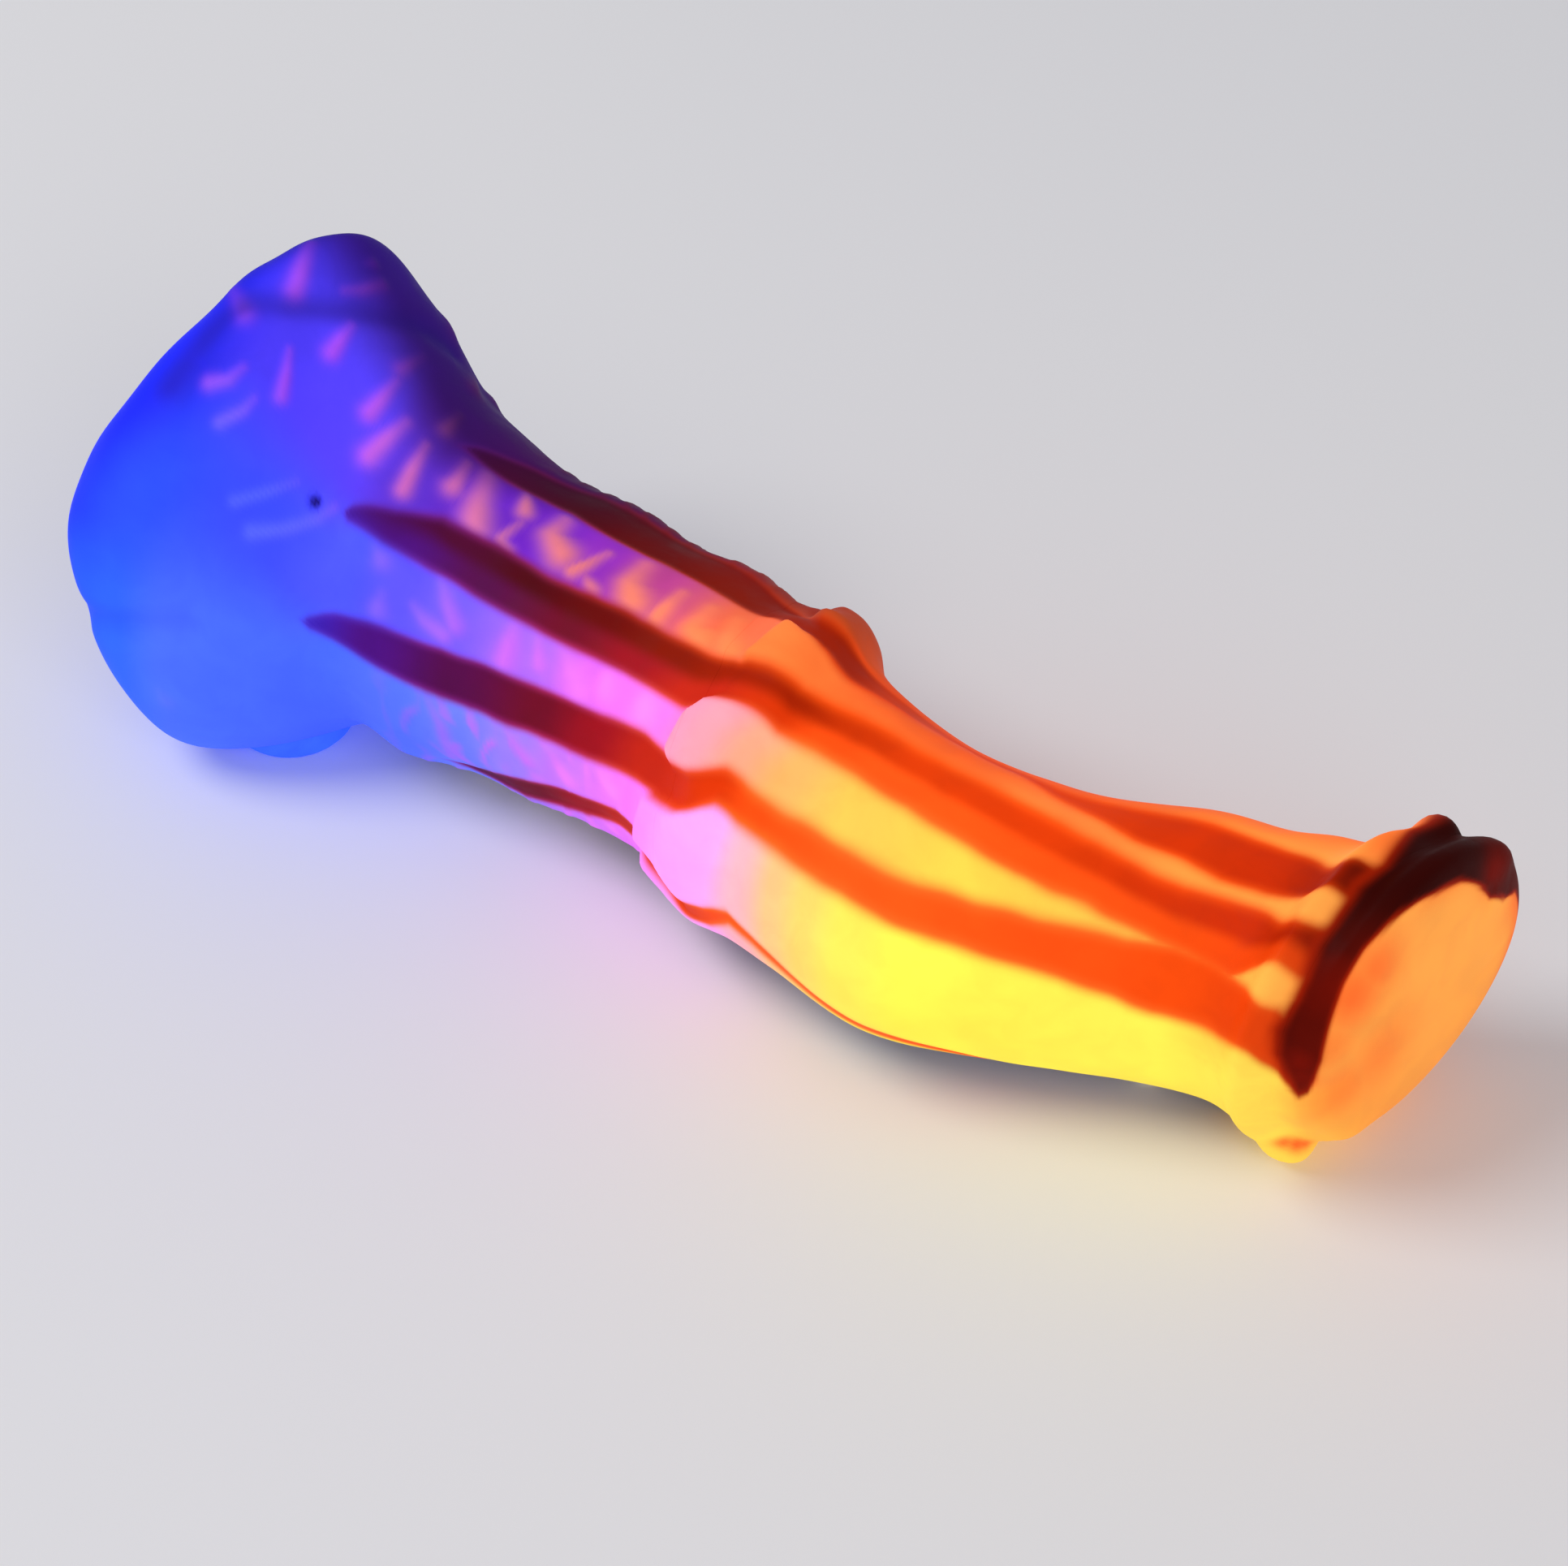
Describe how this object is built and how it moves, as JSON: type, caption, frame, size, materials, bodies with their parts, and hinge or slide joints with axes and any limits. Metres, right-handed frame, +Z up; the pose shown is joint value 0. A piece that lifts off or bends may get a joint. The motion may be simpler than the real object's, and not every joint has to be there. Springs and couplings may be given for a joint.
{
  "type": "novelty telephone",
  "caption": "Lit one-piece novelty telephone in a sculpted, striped translucent form that rests face down, with dial keys, earpiece and hook plunger on its underside.",
  "frame": {"origin": "middle of the bounding box, on the table", "axes": "+X along the phone from the ear end to the mouth end, +Z up from the table, face down"},
  "size_m": [0.2446, 0.0747, 0.0825],
  "materials": {
    "shell_blue": "satin translucent, lit from inside",
    "shell_amber": "satin translucent, lit from inside",
    "cap_amber": "satin translucent, lit from inside",
    "plate_dark": "fine texture",
    "dial_metal": "brushed",
    "key_ivory": "gloss",
    "membrane_rubber": "matt",
    "board_green": "solder mask",
    "screw_steel": "bright",
    "ear_silicone": "soft, translucent",
    "black_rubber": "matt",
    "grille_metal": "brushed",
    "holder_grey": "moulded",
    "capsule_metal": "satin",
    "wire_red": "satin",
    "wire_blue": "satin",
    "weight_steel": "plated",
    "bracket_white": "moulded",
    "lamp_blue": "clear dome",
    "lamp_amber": "clear dome",
    "diffuser_milk": "milky",
    "ringer_brass": "satin",
    "plastic_black": "moulded",
    "cell_red": "satin sleeve",
    "knob_white": "gloss",
    "knob_red": "gloss"
  },
  "bodies": {
    "handset": {"head_shell": "shell_blue", "body_shell": "shell_amber", "end_cap": "cap_amber", "base_plate": "plate_dark", "dial_plate": "dial_metal", "key_membrane": "membrane_rubber", "key_board": "board_green", "board_screws": "screw_steel", "ear_ring": "ear_silicone", "ear_grille": "grille_metal", "receiver_holder": "holder_grey", "receiver_capsule": "capsule_metal", "receiver_wires": "wire_red", "handle_weight": "weight_steel", "weight_screws": "screw_steel", "lamp_bracket": "bracket_white", "blue_lamp_board": "bracket_white", "blue_lamps": "lamp_blue", "blue_diffuser": "diffuser_milk", "blue_lamp_wires": "wire_blue", "light_baffle": "bracket_white", "ringer_ring": "holder_grey", "ringer_disc": "ringer_brass", "battery_tray": "plastic_black", "battery_cells": "cell_red", "battery_springs": "screw_steel", "battery_contacts": "screw_steel", "main_board": "board_green", "amber_lamps_row": "lamp_amber", "amber_diffuser": "diffuser_milk", "light_switch": "plastic_black", "ringer_switch": "plastic_black", "hook_housing": "holder_grey", "hook_spring": "screw_steel", "hook_switch": "plastic_black", "microphone": "capsule_metal", "microphone_boot": "black_rubber", "line_jack": "plastic_black", "shell_screws": "screw_steel", "rubber_feet": "black_rubber"},
    "key_1": {"key_1": "key_ivory"},
    "key_2": {"key_2": "key_ivory"},
    "key_3": {"key_3": "key_ivory"},
    "key_4": {"key_4": "key_ivory"},
    "key_5": {"key_5": "key_ivory"},
    "key_6": {"key_6": "key_ivory"},
    "key_7": {"key_7": "key_ivory"},
    "key_8": {"key_8": "key_ivory"},
    "key_9": {"key_9": "key_ivory"},
    "key_star": {"key_star": "key_ivory"},
    "key_0": {"key_0": "key_ivory"},
    "key_hash": {"key_hash": "key_ivory"},
    "hook_plunger": {"hook_plunger": "key_ivory"},
    "battery_door": {"battery_door": "plate_dark"},
    "light_switch_knob": {"light_switch_knob": "knob_white"},
    "ringer_switch_knob": {"ringer_switch_knob": "knob_red"}
  },
  "joints": [
    {"name": "key_1_press", "type": "slide", "parent": "handset", "child": "key_1", "axis": [0, 0, 1], "range_m": [0, 0.001], "stiffness_N_per_m": 300, "springref_m": -0.0006},
    {"name": "key_2_press", "type": "slide", "parent": "handset", "child": "key_2", "axis": [0, 0, 1], "range_m": [0, 0.001], "stiffness_N_per_m": 300, "springref_m": -0.0006},
    {"name": "key_3_press", "type": "slide", "parent": "handset", "child": "key_3", "axis": [0, 0, 1], "range_m": [0, 0.001], "stiffness_N_per_m": 300, "springref_m": -0.0006},
    {"name": "key_4_press", "type": "slide", "parent": "handset", "child": "key_4", "axis": [0, 0, 1], "range_m": [0, 0.001], "stiffness_N_per_m": 300, "springref_m": -0.0006},
    {"name": "key_5_press", "type": "slide", "parent": "handset", "child": "key_5", "axis": [0, 0, 1], "range_m": [0, 0.001], "stiffness_N_per_m": 300, "springref_m": -0.0006},
    {"name": "key_6_press", "type": "slide", "parent": "handset", "child": "key_6", "axis": [0, 0, 1], "range_m": [0, 0.001], "stiffness_N_per_m": 300, "springref_m": -0.0006},
    {"name": "key_7_press", "type": "slide", "parent": "handset", "child": "key_7", "axis": [0, 0, 1], "range_m": [0, 0.001], "stiffness_N_per_m": 300, "springref_m": -0.0006},
    {"name": "key_8_press", "type": "slide", "parent": "handset", "child": "key_8", "axis": [0, 0, 1], "range_m": [0, 0.001], "stiffness_N_per_m": 300, "springref_m": -0.0006},
    {"name": "key_9_press", "type": "slide", "parent": "handset", "child": "key_9", "axis": [0, 0, 1], "range_m": [0, 0.001], "stiffness_N_per_m": 300, "springref_m": -0.0006},
    {"name": "key_star_press", "type": "slide", "parent": "handset", "child": "key_star", "axis": [0, 0, 1], "range_m": [0, 0.001], "stiffness_N_per_m": 300, "springref_m": -0.0006},
    {"name": "key_0_press", "type": "slide", "parent": "handset", "child": "key_0", "axis": [0, 0, 1], "range_m": [0, 0.001], "stiffness_N_per_m": 300, "springref_m": -0.0006},
    {"name": "key_hash_press", "type": "slide", "parent": "handset", "child": "key_hash", "axis": [0, 0, 1], "range_m": [0, 0.001], "stiffness_N_per_m": 300, "springref_m": -0.0006},
    {"name": "hook_travel", "type": "slide", "parent": "handset", "child": "hook_plunger", "axis": [0, 0, -1], "range_m": [0, 0.003], "stiffness_N_per_m": 60, "springref_m": 0.008, "deforming": ["hook_spring"]},
    {"name": "battery_door_slide", "type": "slide", "parent": "handset", "child": "battery_door", "axis": [-1, 0, 0], "range_m": [0, 0.008]},
    {"name": "light_switch_slide", "type": "slide", "parent": "handset", "child": "light_switch_knob", "axis": [1, 0, 0], "range_m": [0, 0.0025]},
    {"name": "ringer_switch_slide", "type": "slide", "parent": "handset", "child": "ringer_switch_knob", "axis": [1, 0, 0], "range_m": [0, 0.0025]}
  ]
}
